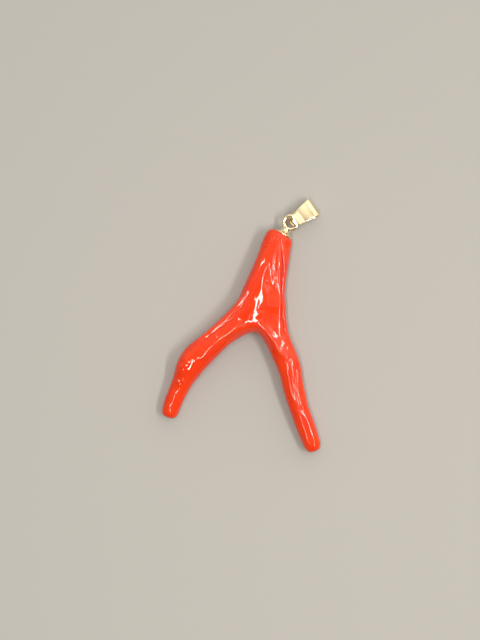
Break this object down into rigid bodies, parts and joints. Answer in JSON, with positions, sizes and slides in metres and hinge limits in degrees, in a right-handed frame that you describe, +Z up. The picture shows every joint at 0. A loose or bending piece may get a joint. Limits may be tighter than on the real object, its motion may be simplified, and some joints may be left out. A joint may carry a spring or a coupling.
{
  "type": "red coral branch pendant",
  "caption": "Forked branch of polished red coral worn as a pendant: a gold bell cap on the stem's end carries a soldered ring, and a tapered gold bail swings in the ring.",
  "frame": {"origin": "on the flat where the stem rests on the table, a little above the fork", "axes": "+Z up from the table, +Y along the stem towards the ring, +X to the right seen from above"},
  "size_m": [0.0414, 0.0664, 0.0071],
  "materials": {
    "coral": "polished red coral, glossy, with the branch's own ridges and small pits",
    "gold": "polished pale yellow gold"
  },
  "bodies": {
    "pendant": {"coral_stem": "coral", "coral_left_arm": "coral", "coral_right_arm": "coral", "cap": "gold", "ring": "gold"},
    "bail": {"bail": "gold"}
  },
  "joints": [
    {"name": "bail_swing", "type": "hinge", "parent": "pendant", "child": "bail", "pos_m": [0.00699, 0.0188, 0.00315], "axis": [0, 0, 1], "range_deg": [-67, 113]}
  ]
}
